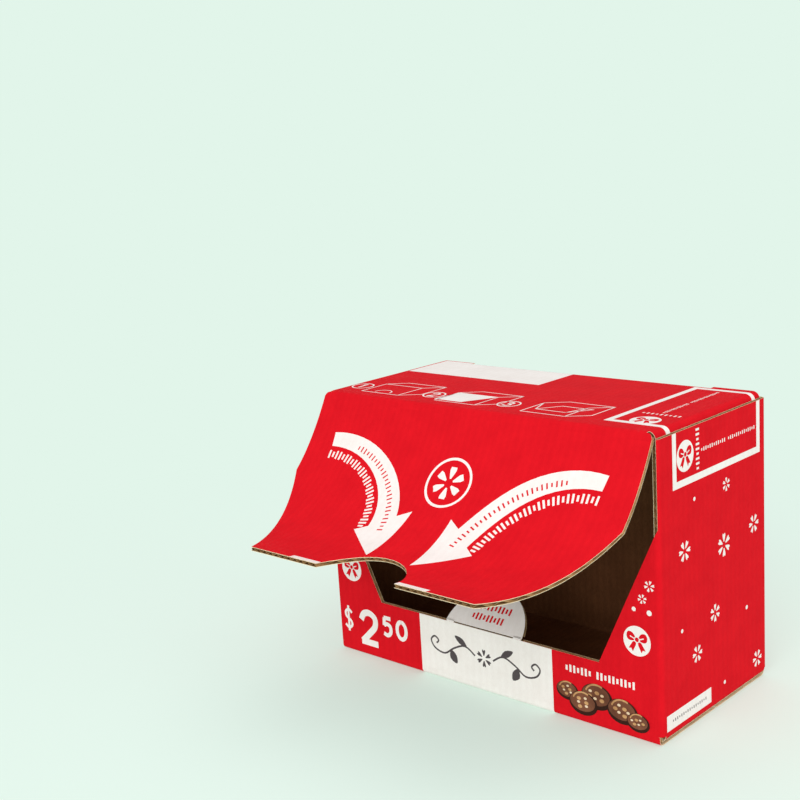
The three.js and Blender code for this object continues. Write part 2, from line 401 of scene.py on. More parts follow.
class BoardGroups:
    """Shader groups that all board finishes share."""

    def __init__(self) -> None:
        """Builds both groups once."""
        self.ridges = self._ridges()
        self.fibres = self._fibres()

    @staticmethod
    def _new(name: str, *outputs: str) -> tuple[Nodes, bpy.types.NodeSocket, object]:
        """Makes a group with a vector input and number outputs.

        Args:
            name: The group's name.
            *outputs: Its outputs' names.

        Returns:
            Helpers for its tree, the vector and the outputs.
        """
        tree = bpy.data.node_groups.new(name, "ShaderNodeTree")
        tree.interface.new_socket(name="Vector", in_out="INPUT", socket_type="NodeSocketVector")
        for label in outputs:
            tree.interface.new_socket(name=label, in_out="OUTPUT", socket_type="NodeSocketFloat")
        n = Nodes(tree)
        return n, n.add("NodeGroupInput").outputs[0], n.add("NodeGroupOutput").inputs

    def _ridges(self) -> bpy.types.NodeTree:
        """Builds the faint lines that the flutes press into a liner.

        Returns:
            The group.
        """
        n, vector, made = self._new("flute_ridges", "Ridge")
        across = n.join("ShaderNodeSeparateXYZ", vector)
        turn = n.math("MULTIPLY", n.math("DIVIDE", across, BoxSizes.pitch * MM), 2 * math.pi)
        n.feed(made["Ridge"], n.math("MULTIPLY_ADD", n.math("SINE", turn), 0.5, 0.5))
        return n.tree

    def _fibres(self) -> bpy.types.NodeTree:
        """Builds the cloudy mottle and the short fibres of paper.

        Returns:
            The group.
        """
        n, vector, made = self._new("paper_fibres", "Cloud", "Fibre")
        cloud = n.add("ShaderNodeTexNoise", Vector=vector, Scale=45.0, Detail=4.0, Roughness=0.6)
        longer = n.add("ShaderNodeMapping", Vector=vector, Scale=(1.0, 0.35, 1.0))
        fibre = n.add("ShaderNodeTexNoise", Vector=longer.outputs[0], Scale=900.0, Detail=3.0, Roughness=0.65,
                      Distortion=0.6)
        n.feed(made["Cloud"], cloud.outputs[0])
        n.feed(made["Fibre"], fibre.outputs[0])
        return n.tree


@dataclass(frozen=True)
class PaperFinish:
    """A paper or ink surface with its flute lines, mottle and fibres."""

    name: str
    colour: Colour
    shade: Colour
    mottle: float = 0.35
    speck: float = 0.2
    ridge: float = 0.12
    roughness: float = 0.5
    gloss: float = 0.08
    bump: float = 0.12
    ridge_bump: float = 0.25

    def make(self, groups: BoardGroups) -> bpy.types.Material:
        """Builds the material.

        Args:
            groups: The shader groups that board finishes share.

        Returns:
            The new material.
        """
        material = bpy.data.materials.new(self.name)
        material.use_nodes = True
        n = Nodes(material.node_tree)
        shader = n.tree.nodes["Principled BSDF"].inputs
        flat = n.add("ShaderNodeUVMap", uv_map="Flat").outputs[0]
        ridge = n.add("ShaderNodeGroup", node_tree=groups.ridges, Vector=flat).outputs["Ridge"]
        fibres = n.add("ShaderNodeGroup", node_tree=groups.fibres, Vector=flat).outputs
        cloud = n.ramp(fibres["Cloud"], 0.35, 0.68)
        fibre = n.ramp(fibres["Fibre"], 0.4, 0.66)
        colour: object = self.colour
        for mask, amount in ((cloud, self.mottle), (fibre, self.speck), (ridge, self.ridge)):
            colour = n.blend(n.math("MULTIPLY", mask, amount), colour, self.shade)
        relief = n.math("MULTIPLY_ADD", ridge, self.ridge_bump, n.math("MULTIPLY", fibre, self.bump))
        bump = n.add("ShaderNodeBump", Strength=0.5, Distance=0.0004, Height=relief)
        shader["Specular IOR Level"].default_value = self.gloss
        n.feed(shader["Base Color"], colour)
        n.feed(shader["Roughness"], n.math("MULTIPLY_ADD", fibre, 0.12, self.roughness))
        n.feed(shader["Normal"], bump.outputs[0])
        return material


class Finish(Enum):
    """The named finishes of the box."""

    RED = PaperFinish(
        "red_print", srgb(222, 22, 34), srgb(186, 10, 24), mottle=0.3, speck=0.12, ridge=0.1,
        roughness=0.66, gloss=0.03)
    WHITE = PaperFinish("white_print", srgb(246, 240, 236), srgb(226, 216, 210), roughness=0.62)
    BROWN_INK = PaperFinish("brown_ink", srgb(132, 84, 62), srgb(82, 46, 32), mottle=0.9)
    DARK_INK = PaperFinish("dark_brown_ink", srgb(58, 30, 20), srgb(40, 20, 14), mottle=0.9)
    TAN_INK = PaperFinish("tan_ink", srgb(214, 168, 116), srgb(150, 100, 60), mottle=0.9)
    CREAM_INK = PaperFinish("cream_ink", srgb(240, 218, 188), srgb(206, 172, 132), mottle=0.8)
    GREY_INK = PaperFinish("grey_ink", srgb(88, 80, 82), srgb(62, 54, 56))
    KRAFT = PaperFinish(
        "kraft_liner", srgb(134, 88, 56), srgb(98, 60, 36), mottle=0.5, speck=0.45, ridge=0.25,
        roughness=0.75, bump=0.3, ridge_bump=0.5)
    FLUTE = PaperFinish(
        "flute_paper", srgb(184, 146, 100), srgb(128, 92, 56), mottle=0.5, speck=0.5, ridge=0.0,
        roughness=0.85, bump=0.3)
    TORN = PaperFinish(
        "torn_paper", srgb(252, 238, 206), srgb(222, 196, 150), mottle=0.4, speck=0.5, ridge=0.0,
        roughness=0.9, bump=0.4)


class Palette:
    """Makes each finish once and hands it out."""

    def __init__(self) -> None:
        """Builds every material of the box."""
        groups = BoardGroups()
        self.made = {finish: finish.value.make(groups) for finish in Finish}


# Board


def thicken(bm: bmesh.types.BMesh, thickness: float, rims: bool) -> None:
    """Gives a flat sheet its thickness as a closed shell.

    Args:
        bm: The flat sheet, whose faces keep their material as the upper face.
        thickness: Thickness in millimetres, measured inward.
        rims: Whether the lower face takes material 1 and the cut edge material 2.
    """
    top = set(bm.faces)
    made = set(bmesh.ops.extrude_face_region(bm, geom=bm.faces[:], use_keep_orig=True)["geom"])
    lower = [part for part in made if isinstance(part, bmesh.types.BMVert)]
    bmesh.ops.translate(bm, verts=lower, vec=(0, 0, thickness))
    for face in bm.faces:
        if rims and face not in top:
            face.material_index = 1 if face in made else 2


@dataclass
class Sheet:
    """A flat blank of paper or ink that is bent onto its place and rides on a body."""

    palette: Palette
    name: str
    body: str
    bend: Bend

    def finish(self, bm: bmesh.types.BMesh, name: str, finishes: Sequence[Finish],
               slot: str) -> bpy.types.Object:
        """Bends a flat shell onto its place and makes it a piece.

        Args:
            bm: The flat shell in millimetres. It is freed.
            name: Name of the new object.
            finishes: Materials in the order of the faces' indices.
            slot: Not used.

        Returns:
            The new object.
        """
        layer = bm.loops.layers.uv.new("Flat")
        for face in bm.faces:
            for loop in face.loops:
                loop[layer].uv = (loop.vert.co.x * MM, loop.vert.co.y * MM)
        for vert in bm.verts:
            vert.co = self.bend.place(*vert.co)
        bmesh.ops.recalc_face_normals(bm, faces=bm.faces[:])
        mesh = bpy.data.meshes.new(name)
        bm.to_mesh(mesh)
        bm.free()
        mesh.shade_smooth()
        mesh.set_sharp_from_angle(angle=math.radians(SHARP_ANGLE))
        for finish in finishes:
            mesh.materials.append(self.palette.made[finish])
        piece = bpy.data.objects.new(name, mesh)
        bpy.context.scene.collection.objects.link(piece)
        if self.body:
            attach(piece, self.body)
        LOG.info("%s: %d faces", name, len(mesh.polygons))
        return piece


class Ply(Enum):
    """The three papers that make the board."""

    PRINTED = "printed"
    FLUTED = "fluted"
    INSIDE = "inside"


@dataclass
class BoardPanel(Sheet):
    """One stretch of board: a flat blank with its outline, bent onto its place."""

    sizes: BoxSizes
    across: list[float]
    along: list[float]
    high: Limit
    low: Limit = steady(0.0)
    flute_zero: float = 0.0
    printed: Finish = Finish.RED
    slot: str = "printed_board"
    plies: tuple[Ply, ...] = tuple(Ply)

    def _depth(self, ply: Ply, across: float) -> float:
        """Gives a ply's depth below the printed face.

        Args:
            ply: One of the papers.
            across: Distance across the flutes.

        Returns:
            Depth of its upper face in millimetres.
        """
        s = self.sizes
        swing = (s.board - 2 * s.liner - s.medium) / 2
        turn = 2 * math.pi * (across - self.flute_zero) / s.pitch
        return {
            Ply.PRINTED: 0.0, Ply.INSIDE: s.board - s.liner,
            Ply.FLUTED: s.liner + swing * (1 + math.sin(turn)),
        }[ply]

    def _ply(self, ply: Ply) -> bpy.types.Object:
        """Cuts one paper flat, thickens it and folds it.

        Args:
            ply: Which of the three papers.

        Returns:
            The folded piece.
        """
        s = self.sizes
        fluted = ply is Ply.FLUTED
        across, inset = self.across, 0.0
        if fluted:
            across, inset = stations(across[0], across[-1], s.pitch / 8, across), s.flute_inset
        columns, rows = len(across) - 1, len(self.along) - 1
        bm = bmesh.new()
        bmesh.ops.create_grid(bm, x_segments=columns, y_segments=rows, size=0.5)
        for vert in bm.verts:
            x = across[round((vert.co.x + 0.5) * columns)]
            y = self.along[round((vert.co.y + 0.5) * rows)]
            depth = self._depth(ply, x)
            y = min(max(y, self.low(x, depth) + inset), self.high(x, depth) - inset)
            vert.co = (x, y, depth)
        bmesh.ops.remove_doubles(bm, verts=bm.verts[:], dist=WELD)
        thicken(bm, s.medium if fluted else s.liner, rims=True)
        finishes = {
            Ply.PRINTED: [self.printed, Finish.TORN, Finish.TORN],
            Ply.FLUTED: [Finish.FLUTE, Finish.FLUTE, Finish.FLUTE],
            Ply.INSIDE: [Finish.FLUTE, Finish.KRAFT, Finish.TORN],
        }[ply]
        return self.finish(bm, f"{self.name}_{ply.value}", finishes, self.slot)

    def build(self) -> bpy.types.Object:
        """Builds all the panel's papers and gives the first."""
        return [self._ply(ply) for ply in self.plies][0]


# Print


def smooth_path(points: Sequence[Point], steps: int = 5, closed: bool = False) -> list[Point]:
    """Draws a smooth line through some points.

    Args:
        points: The points it goes through.
        steps: Points added for each stretch.
        closed: Whether the line comes back to its start.

    Returns:
        The points of the smooth line.
    """
    count = len(points)
    made: list[Point] = []
    for i in range(count if closed else count - 1):
        p = [points[(i + k) % count if closed else min(max(i + k, 0), count - 1)] for k in (-1, 0, 1, 2)]
        for t in (j / steps for j in range(steps)):
            made.append(tuple(
                0.5 * (2 * p[1][c] + (p[2][c] - p[0][c]) * t
                       + (2 * p[0][c] - 5 * p[1][c] + 4 * p[2][c] - p[3][c]) * t * t
                       + (3 * p[1][c] - p[0][c] - 3 * p[2][c] + p[3][c]) * t ** 3)
                for c in (0, 1)))
    return made if closed else [*made, points[-1]]


def arc_points(centre: Point, radius: float, start: float, end: float, count: int) -> list[Point]:
    """Gives points on a round arc, with its angles in degrees."""
    angles = [math.radians(start + (end - start) * i / count) for i in range(count + 1)]
    return [(centre[0] + radius * math.cos(a), centre[1] + radius * math.sin(a)) for a in angles]


def placed(shape: Sequence[Point], centre: Point, size: float, side: int = 1) -> list[Point]:
    """Puts a shape of unit size at a centre, mirrored where side is -1."""
    return [(centre[0] + side * x * size, centre[1] + y * size) for x, y in shape]


NUMERALS: dict[str, list[list[Point]]] = {
    "0": [arc_points((0.5, 0.5), 0.5, 90, 450, 20)],
    "1": [[(0.16, 0.76), (0.5, 1.0)], [(0.5, 1.08), (0.5, 0.0)]],
    "2": [smooth_path([(0.04, 0.72), (0.22, 0.94), (0.56, 1.0), (0.88, 0.86), (0.86, 0.58), (0.5, 0.3),
                       (0.06, 0.0)]), [(0.0, 0.0), (1.0, 0.0)]],
    "3": [smooth_path([(0.06, 0.88), (0.42, 1.0), (0.85, 0.82), (0.74, 0.6), (0.34, 0.54)]),
          smooth_path([(0.34, 0.54), (0.82, 0.45), (0.92, 0.22), (0.55, 0.0), (0.05, 0.1)])],
    "5": [[(0.94, 1.0), (0.1, 1.0)], [(0.16, 1.0), (0.1, 0.54)],
          smooth_path([(0.1, 0.56), (0.46, 0.66), (0.88, 0.54), (0.9, 0.2), (0.52, 0.0), (0.04, 0.08)])],
    "$": [smooth_path([(0.92, 0.76), (0.56, 0.88), (0.16, 0.76), (0.24, 0.56), (0.76, 0.42), (0.88, 0.24),
                       (0.48, 0.1), (0.06, 0.22)]), [(0.5, 1.04), (0.5, -0.04)]],
}


@dataclass
class InkSheet(Sheet):
    """Simple print shapes on one flat blank, laid on its folded face.

    Layer 0 lies on the liner, layer 1 on top of that, and so on.
    """

    shift: Shift = lambda x, y: (x, y)
    slot: str = "printed_board"
    lift: float = 0.05
    layer_step: float = 0.03
    ink: float = BoxSizes.ink
    least_arm: float = 3.0
    inks: list[Finish] = field(default_factory=list)

    def __post_init__(self) -> None:
        """Starts the empty sheet."""
        self.bm = bmesh.new()

    def patch(self, points: Sequence[Point], ink: Finish, layer: int = 0) -> None:
        """Adds a filled outline.

        Args:
            points: The outline's corners in order.
            ink: Its finish.
            layer: Its layer.
        """
        if ink not in self.inks:
            self.inks.append(ink)
        depth = -self.lift - self.layer_step * layer
        face = self.bm.faces.new([self.bm.verts.new((*self.shift(*point), depth)) for point in points])
        face.material_index = self.inks.index(ink)

    def box(self, low: Point, high: Point, ink: Finish = Finish.WHITE, layer: int = 0) -> None:
        """Adds an upright rectangle."""
        self.patch([low, (high[0], low[1]), high, (low[0], high[1])], ink, layer)

    def disc(self, centre: Point, radius: float, ink: Finish, layer: int = 0, squash: float = 1.0) -> None:
        """Adds a filled circle, or an ellipse where squash isn't 1."""
        points = arc_points((0, 0), radius, 0, 360, 28)[:-1]
        self.patch([(centre[0] + x, centre[1] + y * squash) for x, y in points], ink, layer)

    def band(self, points: Sequence[Point], width: float, ink: Finish = Finish.WHITE, layer: int = 0,
             closed: bool = False) -> None:
        """Adds a line of even width.

        Args:
            points: The line's middle.
            width: Its width.
            ink: Its finish.
            layer: Its layer.
            closed: Whether the line comes back to its start.
        """
        count = len(points)
        sides: list[tuple[Point, Point]] = []
        for i, (x, y) in enumerate(points):
            last = points[(i - 1) % count if closed else max(i - 1, 0)]
            ahead = points[(i + 1) % count if closed else min(i + 1, count - 1)]
            before, after = Vector((x - last[0], y - last[1])), Vector((ahead[0] - x, ahead[1] - y))
            before = (before if before.length > 1e-9 else after).normalized()
            after = after.normalized() if after.length > 1e-9 else before
            tangent = (before + after).normalized()
            reach = width / 2 / max(0.4, tangent.dot(before))
            u, v = -tangent.y * reach, tangent.x * reach
            sides.append(((x + u, y + v), (x - u, y - v)))
        for i in range(count if closed else count - 1):
            a, b = sides[i], sides[(i + 1) % count]
            self.patch([a[0], a[1], b[1], b[0]], ink, layer)

    def ring(self, centre: Point, radius: float, width: float, count: int) -> None:
        """Adds a white ring."""
        self.band(arc_points(centre, radius, 0, 360, count)[:-1], width, closed=True)

    def numeral(self, sign: str, low: Point, high: Point, width: float) -> None:
        """Adds a plain white numeral, each stroke a little above the last.

        Args:
            sign: Which numeral.
            low: Lower left corner of its rectangle.
            high: Upper right corner.
            width: Width of its strokes.
        """
        for k, line in enumerate(NUMERALS[sign]):
            points = [(low[0] + x * (high[0] - low[0]), low[1] + y * (high[1] - low[1])) for x, y in line]
            self.band(points, width, layer=k)

    def snowflake(self, centre: Point, radius: float, ink: Finish = Finish.WHITE, layer: int = 0,
                  turn: float = 0.0) -> None:
        """Adds a six-armed snowflake, or a dot where it is too small for arms.

        Args:
            centre: Its middle.
            radius: Length of its arms.
            ink: Its finish.
            layer: Its layer.
            turn: Angle of its first arm in degrees.
        """
        if radius < self.least_arm:
            self.disc(centre, 0.75 * radius, ink, layer)
            return
        half = [(0.28, 0.05), (0.5, 0.13), (0.78, 0.22), (0.98, 0.2), (0.98, 0.08), (0.86, 0.0)]
        arm = half + [(reach, -wide) for reach, wide in reversed(half[:-1])]
        for k in range(6):
            a = math.radians(turn + 60 * k)
            out, side = Vector((math.cos(a), math.sin(a))), Vector((-math.sin(a), math.cos(a)))
            self.patch([tuple(Vector(centre) + (out * u + side * v) * radius) for u, v in arm], ink, layer)

    def bow(self, centre: Point, radius: float, layer: int = 0) -> None:
        """Adds a white disc with a simple red ribbon bow.

        Args:
            centre: Its middle.
            radius: Radius of the disc.
            layer: Its lowest layer. It takes five.
        """
        loop = smooth_path([(0.1, 0.16), (0.3, 0.5), (0.62, 0.56), (0.76, 0.3), (0.66, 0.02), (0.34, -0.02)],
                           4, True)
        tail = [(0.04, -0.02), (0.3, -0.06), (0.62, -0.56), (0.42, -0.54), (0.32, -0.74), (0.1, -0.3)]
        self.disc(centre, radius, Finish.WHITE, layer)
        for side in (-1, 1):
            self.patch(placed(loop, centre, radius, side), Finish.RED, layer + 1)
            self.patch(placed(tail, centre, radius, side), Finish.RED, layer + 1)
            crease = placed([(0.2, 0.14), (0.5, 0.26)], centre, radius, side)
            self.band(crease, 0.07 * radius, Finish.WHITE, layer + 2)
        knot = (centre[0], centre[1] + 0.1 * radius)
        self.disc(knot, 0.21 * radius, Finish.WHITE, layer + 3)
        self.disc(knot, 0.15 * radius, Finish.RED, layer + 4)

    def flourish(self, centre: Point, half: float, ink: Finish, layer: int) -> None:
        """Adds a plain curled ornament with a snowflake in its middle.

        Args:
            centre: Its middle.
            half: Half its width.
            ink: Its finish.
            layer: Its lowest layer. It takes two.
        """
        scroll = [(0.16, 0.0), (0.34, 0.1), (0.55, 0.02), (0.72, -0.09), (0.9, -0.05), (0.97, 0.06),
                  (0.9, 0.13), (0.83, 0.08), (0.87, 0.03)]
        leaf = [(0.3, 0.085), (0.38, 0.2), (0.52, 0.22), (0.44, 0.12)]
        drop = [(0.6, -0.01), (0.62, -0.14), (0.5, -0.2), (0.5, -0.08)]
        for side in (-1, 1):
            self.band(smooth_path(placed(scroll, centre, half, side), 4), 0.026 * half, ink, layer)
            for shape in (leaf, drop):
                self.patch(smooth_path(placed(shape, centre, half, side), 3, True), ink, layer + 1)
        self.snowflake(centre, 0.13 * half, ink, layer, turn=30)

    def biscuit(self, centre: Point, radius: float, turn: float, layer: int) -> None:
        """Adds a printed round biscuit with a pale edge of light and a few crumbs on top.

        Args:
            centre: Its middle.
            radius: Half its width.
            turn: Angle of its crumbs in degrees.
            layer: Its lowest layer. It takes four.
        """
        x, y = centre
        self.disc(centre, radius, Finish.DARK_INK, layer, squash=0.74)
        face = (x - 0.05 * radius, y + 0.09 * radius)
        self.disc(face, 0.88 * radius, Finish.BROWN_INK, layer + 1, squash=0.68)
        light = [(x + 0.72 * u, face[1] + 0.6 * v) for u, v in arc_points((0, 0), radius, 60, 165, 8)]
        self.band(light, 0.1 * radius, Finish.TAN_INK, layer + 2)
        for k in range(6):
            a = math.radians(turn + 61 * k)
            reach = (0.28, 0.5, 0.42)[k % 3] * radius
            spot = (face[0] + reach * math.cos(a), y + 0.06 * radius + 0.62 * reach * math.sin(a))
            ink = Finish.CREAM_INK if k % 2 else Finish.TAN_INK
            self.disc(spot, (0.15, 0.11)[k % 2] * radius, ink, layer + 3, squash=0.72)

    def marks(self, points: Sequence[Point], height: float, width: float, ink: Finish = Finish.WHITE,
              layer: int = 0) -> None:
        """Adds a row of plain upright ticks, standing across the line of the points.

        Args:
            points: The ticks' middles, in order along the row.
            height: Height of the tall ticks.
            width: Width of each tick.
            ink: Their finish.
            layer: Their layer.
        """
        for i, (x, y) in enumerate(points):
            before, after = points[max(i - 1, 0)], points[min(i + 1, len(points) - 1)]
            line = Vector((after[0] - before[0], after[1] - before[1])).normalized()
            tall = height * (1.0 if i % 3 else 0.66)
            half, rise = line * width / 2, Vector((-line.y, line.x)) * tall / 2
            corners = [half * a + rise * b for a, b in ((-1, -1), (1, -1), (1, 1), (-1, 1))]
            self.patch([(x + c.x, y + c.y) for c in corners], ink, layer)

    def build(self, cut_across: Sequence[float] = (), cut_along: Sequence[float] = ()) -> None:
        """Divides the shapes so that they can bend, thickens them and folds them.

        Args:
            cut_across: Places across the flutes where the ink is divided.
            cut_along: Places along the flutes where it is divided.
        """
        bm = self.bm
        bmesh.ops.triangulate(bm, faces=bm.faces[:])
        for places, normal in ((cut_across, (1, 0, 0)), (cut_along, (0, 1, 0))):
            for place in places:
                geom = bm.verts[:] + bm.edges[:] + bm.faces[:]
                bmesh.ops.bisect_plane(
                    bm, geom=geom, dist=CUT_SNAP, plane_co=tuple(place * c for c in normal), plane_no=normal)
        thicken(bm, self.ink, rims=False)
        self.finish(bm, self.name, self.inks, self.slot)


# Sub-assemblies


@dataclass
class SubAssembly:
    """What each part of the box is made from."""

    sizes: BoxSizes
    palette: Palette


@dataclass
class WallLoop(SubAssembly):
    """The glue tab and the four walls in one strip, with the torn opening in the front."""

    torn_behind: float = 0.9
    rear_gap: float = 1.0
    jump: float = 0.012
    tear: Waves = ((0.07, 1.9, 0.0), (0.05, 4.7, 1.0))
    crease_drop: float = 0.05

    def __post_init__(self) -> None:
        """Works out where each wall lies along the strip, and where the side walls are torn off."""
        s = self.sizes
        r = s.fold_r
        wide, deep = 2 * s.half_w - 2 * r, 2 * s.half_d - 2 * r
        flats = (s.glue_tab, deep - s.board - s.gap, wide, deep, wide + r - self.rear_gap)
        steps = [step for flat in flats for step in ((flat, 0.0), corner(r))][:-1]
        self.starts = [0.0, *accumulate(length for length, _turn in steps)]
        self.bend = Bend(FoldPath((-s.half_w + r + s.glue_tab, s.inside_y), 180, tuple(steps)), Plane.PLAN)
        turn = math.acos(1 - s.torn_setback / r) * r
        self.torn = (self.starts[4] - turn, self.starts[5] + turn)
        self.left, self.front = self._wall(2, s.inside_y, -1), self._wall(4, s.half_w)
        self.right, self.back = self._wall(6, s.half_d), self._wall(8, s.half_w)

    def _wall(self, index: int, edge: float, sign: int = 1) -> Shift:
        """Gives the rule that puts a place on one wall, measured from its middle, on the strip."""
        return lambda side, z: (self.starts[index] + edge - self.sizes.fold_r + sign * side, z)

    def top(self, across: float, depth: float) -> float:
        """Gives the strip's upper edge: the wall's top, the wing's slant or the lip.

        Args:
            across: Distance along the strip.
            depth: Depth below the printed face.

        Returns:
            The edge's height.
        """
        s = self.sizes
        left, right = self.torn
        behind = self.torn_behind if depth > s.liner / 2 else 0.0
        if across <= left - behind or across >= right + behind:
            return s.wall_top
        x = abs(self.bend.place(across, 0, 0).x) / MM
        height = min(s.lip_z + max(0.0, x - s.lip_half) / s.tear_slope, s.kink_z)
        deep = depth + s.liner - s.tab_axis_depth
        if x < s.tab_r and deep > 0:
            height -= math.tan(math.radians(s.lip_bevel)) * deep
        return height + (ragged(across, self.tear) if x > s.tab_r else -self.crease_drop)

    def build(self) -> None:
        """Builds the walls' board."""
        s = self.sizes
        left, right = self.torn
        back, jump = self.torn_behind, self.jump
        extra = [left, left + jump, right - jump, right, left - back, left - back + jump,
                 right + back - jump, right + back, *stations(left, right, 1.0)]
        for start, end in zip(self.starts[1:9:2], self.starts[2:9:2]):
            extra += stations(start, end, ARC_STEP)
        for x in (s.lip_half, s.tab_r, s.tab_r + 0.02):
            extra += [self.front(x, 0)[0], self.front(-x, 0)[0]]
        printed = BoardPanel(
            self.palette, "walls", "carton", self.bend, s, stations(0, self.starts[-1], 12, extra),
            [s.side_start, s.lip_z, (s.lip_z + s.kink_z) / 2, s.kink_z, s.wall_top],
            high=self.top, low=steady(s.side_start), flute_zero=self.front(0, 0)[0]).build()
        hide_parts("carton")


@dataclass
class BottomFlaps(SubAssembly):
    """The four glued bottom flaps, each folded from its wall."""

    def major(self, back: bool) -> Bend:
        """Gives the fold from the front or back wall to its outer bottom flap.

        Args:
            back: Whether it is the back one.

        Returns:
            The fold.
        """
        s = self.sizes
        reach = s.half_d - s.fold_r + (-s.seam_y if back else s.seam_y) - s.bottom_seam / 2
        steps = ((s.side_start - s.fold_r, 0), corner(s.fold_r), (reach, 0))
        return Bend(FoldPath((-s.half_d, s.side_start), -90, steps), Plane.SIDE, True, mirror_y=back)

    def _flap(self, name: str, bend: Bend, half: float) -> None:
        """Builds one flap's board.

        Args:
            name: The flap's name.
            bend: Its fold, which ends with its flat stretch.
            half: Half its width.
        """
        fold = sum(length for length, _turn in bend.path.steps[:-1])
        length = fold + bend.path.steps[-1][0]
        rows = stations(0, fold, ARC_STEP) + stations(fold + 20, length, 30)
        BoardPanel(self.palette, name, "carton", bend, self.sizes, stations(-half, half, 20), rows,
                   steady(length)).build()

    def build(self) -> None:
        """Builds all four flaps."""
        s = self.sizes
        for name, back in (("bottom_front", False), ("bottom_back", True)):
            self._flap(name, self.major(back), s.half_w - s.major_setback)
        path = FoldPath((-s.half_w, s.side_start), -90, (corner(s.fold_r), (s.half_d - s.fold_r, 0)))
        for name, right in (("bottom_left", False), ("bottom_right", True)):
            self._flap(name, Bend(path, Plane.FRONT, True, mirror_x=right), s.half_d - s.fold_r)


@dataclass
class TopPanel(SubAssembly):
    """The top with its rolled sides, dust flaps, front fold, rear fold, ears and tuck flap."""

    skin_back: float = 6.0
    jump: float = 0.01
    fold_lean: float = 0.75
    fold_least: float = 0.05
    tuck_round: float = 12
    tuck_cut: float = 0.02

    def __post_init__(self) -> None:
        """Works out the sections across the top and over its rear edge."""
        s = self.sizes
        self.drop = s.dust_length - s.roll_r
        self.roll = corner(s.roll_r)[0]
        side = ((self.drop, 0), corner(s.roll_r))
        steps = (*side, (2 * s.top_half, 0), *reversed(side))
        self.bend = Bend(FoldPath((s.inside_x, s.height - s.dust_length), 90, steps), Plane.FRONT)
        self.middle = self.drop + self.roll + s.top_half
        self.front_y = -s.half_d + s.fold_r
        self.rear_y = s.inside_y - s.roll_r
        tuck = FoldPath((-self.rear_y, s.height), 180, (corner(s.roll_r), (s.tuck_length - s.roll_r, 0)))
        self.tuck_bend = Bend(tuck, Plane.SIDE, True, mirror_y=True)

    def top(self, x: float, y: float) -> Point:
        """Gives a place on the flat top."""
        return (self.middle - x, y)

    def build(self) -> None:
        """Builds the board of the top and its flaps."""
        s = self.sizes
        whole = 2 * self.middle
        first, last = self.drop + self.roll, whole - self.drop - self.roll
        slit = s.tuck_half + s.ear_slit
        near = self.jump / 2
        extra = stations(self.drop, first, 0.7) + stations(last, whole - self.drop, 0.7)
        extra += [first - self.jump, last + self.jump]
        extra += [self.top(x, 0)[0] for x in (slit, slit - self.jump, -slit, -slit + self.jump)]

        def front_edge(across: float, depth: float) -> float:
            """Front end of the sheet, where the fold's own liner takes over on the printed side."""
            covered = depth < s.liner / 2 and first - near < across < last + near
            return self.front_y + self.skin_back if covered else self.front_y

        def back_edge(across: float, depth: float) -> float:
            """Rear end: dust flaps stop short, ears reach the back wall and the tuck flap folds between.

            Args:
                across: Distance along the sheet's section.
                depth: Depth below the printed face.

            Returns:
                The end's distance from the middle.
            """
            x, _y, z = self.bend.place(across, 0, depth) / MM
            if z < s.wall_top + s.gap:
                return s.dust_back
            return s.inside_y if abs(x) > slit - near else self.rear_y

        rows = [self.front_y, self.front_y + self.skin_back, 0, s.dust_back, self.rear_y, s.inside_y]
        BoardPanel(self.palette, "top", "carton", self.bend, s, stations(0, whole, 20, extra), rows,
                   back_edge, front_edge, flute_zero=self.middle).build()
        self._front_fold()
        self._tuck()

    def _front_fold(self) -> None:
        """Builds the front fold's flutes and inner liner, which lean back so that the flap can close."""
        s = self.sizes
        fold = corner(s.fold_r, s.hinge_arc)
        bend = Bend(FoldPath((self.front_y, s.height), 180, (fold,)), Plane.SIDE, True)
        BoardPanel(self.palette, "top_fold", "carton", bend, s, stations(-s.top_half, s.top_half, 20),
                   stations(0, fold[0], ARC_STEP / 2),
                   lambda _a, d: max(self.fold_least, fold[0] - s.hinge_clear - d * self.fold_lean),
                   plies=(Ply.FLUTED, Ply.INSIDE)).build()

    def _tuck(self) -> None:
        """Builds the rear fold and the tuck flap inside the back wall, with its two rounded corners."""
        s = self.sizes
        half = s.tuck_half
        length = self.roll + s.tuck_length - s.roll_r
        rows = stations(0, self.roll, ARC_STEP) + stations(self.roll + 10, length, 12)
        BoardPanel(
            self.palette, "tuck_flap", "carton", self.tuck_bend, s, stations(-half, half, 4), rows,
            lambda a, _d: length - self.tuck_cut * max(0.0, abs(a) - half + self.tuck_round) ** 2).build()


